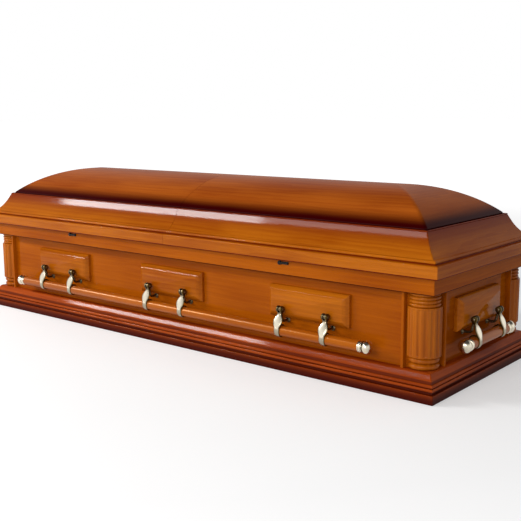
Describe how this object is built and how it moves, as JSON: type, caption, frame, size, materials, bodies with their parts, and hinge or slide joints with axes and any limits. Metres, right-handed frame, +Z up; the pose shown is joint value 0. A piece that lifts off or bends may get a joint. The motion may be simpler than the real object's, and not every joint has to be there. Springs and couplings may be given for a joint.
{
  "type": "wooden casket",
  "caption": "Closed half-couch wooden casket with a hip-ended barrel lid in two halves, fluted corner columns, raised panels and swing-bar handles.",
  "frame": {"origin": "middle of the base, on the surface it stands on", "axes": "+X along the length towards the foot end, -Y to the front long side, +Z up"},
  "size_m": [2.1478, 0.7108, 0.578],
  "materials": {
    "stained_wood": "orange-brown stain under high-gloss lacquer",
    "dark_stained_wood": "red-brown stain, darkened at the edges, under high-gloss lacquer",
    "shaded_stained_wood": "orange-brown stain shaded to dark red at the foot, under high-gloss lacquer",
    "plain_wood": "plain board, unfinished",
    "antique_brass": "cast and polished, champagne to antique brass",
    "blackened_steel": "black"
  },
  "bodies": {
    "casket": {"base_moulding": "dark_stained_wood", "bottom_board": "plain_wood", "box_walls": "stained_wood", "column_back_foot": "stained_wood", "column_back_head": "stained_wood", "column_front_foot": "stained_wood", "column_front_head": "stained_wood", "foot_catch": "blackened_steel", "foot_lid_crown": "shaded_stained_wood", "foot_lid_rim": "stained_wood", "head_catch": "blackened_steel", "head_lid_crown": "shaded_stained_wood", "head_lid_rim": "stained_wood", "lug_back_1": "antique_brass", "lug_back_2": "antique_brass", "lug_back_3": "antique_brass", "lug_back_4": "antique_brass", "lug_back_5": "antique_brass", "lug_back_6": "antique_brass", "lug_foot_end_1": "antique_brass", "lug_foot_end_2": "antique_brass", "lug_front_1": "antique_brass", "lug_front_2": "antique_brass", "lug_front_3": "antique_brass", "lug_front_4": "antique_brass", "lug_front_5": "antique_brass", "lug_front_6": "antique_brass", "lug_head_end_1": "antique_brass", "lug_head_end_2": "antique_brass", "panel_back_foot": "stained_wood", "panel_back_head": "stained_wood", "panel_back_middle": "stained_wood", "panel_foot_end": "stained_wood", "panel_front_foot": "stained_wood", "panel_front_head": "stained_wood", "panel_front_middle": "stained_wood", "panel_head_end": "stained_wood", "upper_rail": "stained_wood"},
    "front_handle": {"arm_front_1": "antique_brass", "arm_front_2": "antique_brass", "arm_front_3": "antique_brass", "arm_front_4": "antique_brass", "arm_front_5": "antique_brass", "arm_front_6": "antique_brass", "bar_front": "stained_wood"},
    "back_handle": {"arm_back_1": "antique_brass", "arm_back_2": "antique_brass", "arm_back_3": "antique_brass", "arm_back_4": "antique_brass", "arm_back_5": "antique_brass", "arm_back_6": "antique_brass", "bar_back": "stained_wood"},
    "head_end_handle": {"arm_head_end_1": "antique_brass", "arm_head_end_2": "antique_brass", "bar_head_end": "stained_wood"},
    "foot_end_handle": {"arm_foot_end_1": "antique_brass", "arm_foot_end_2": "antique_brass", "bar_foot_end": "stained_wood"}
  },
  "joints": [
    {"name": "front_handle_swing", "type": "hinge", "parent": "casket", "child": "front_handle", "pos_m": [0, -0.3315, 0.2], "axis": [-1, 0, 0], "range_deg": [0, 90]},
    {"name": "back_handle_swing", "type": "hinge", "parent": "casket", "child": "back_handle", "pos_m": [0, 0.3315, 0.2], "axis": [1, 0, 0], "range_deg": [0, 90]},
    {"name": "head_end_handle_swing", "type": "hinge", "parent": "casket", "child": "head_end_handle", "pos_m": [-1.05, 0, 0.2], "axis": [0, 1, 0], "range_deg": [0, 90]},
    {"name": "foot_end_handle_swing", "type": "hinge", "parent": "casket", "child": "foot_end_handle", "pos_m": [1.05, 0, 0.2], "axis": [0, -1, 0], "range_deg": [0, 90]}
  ]
}
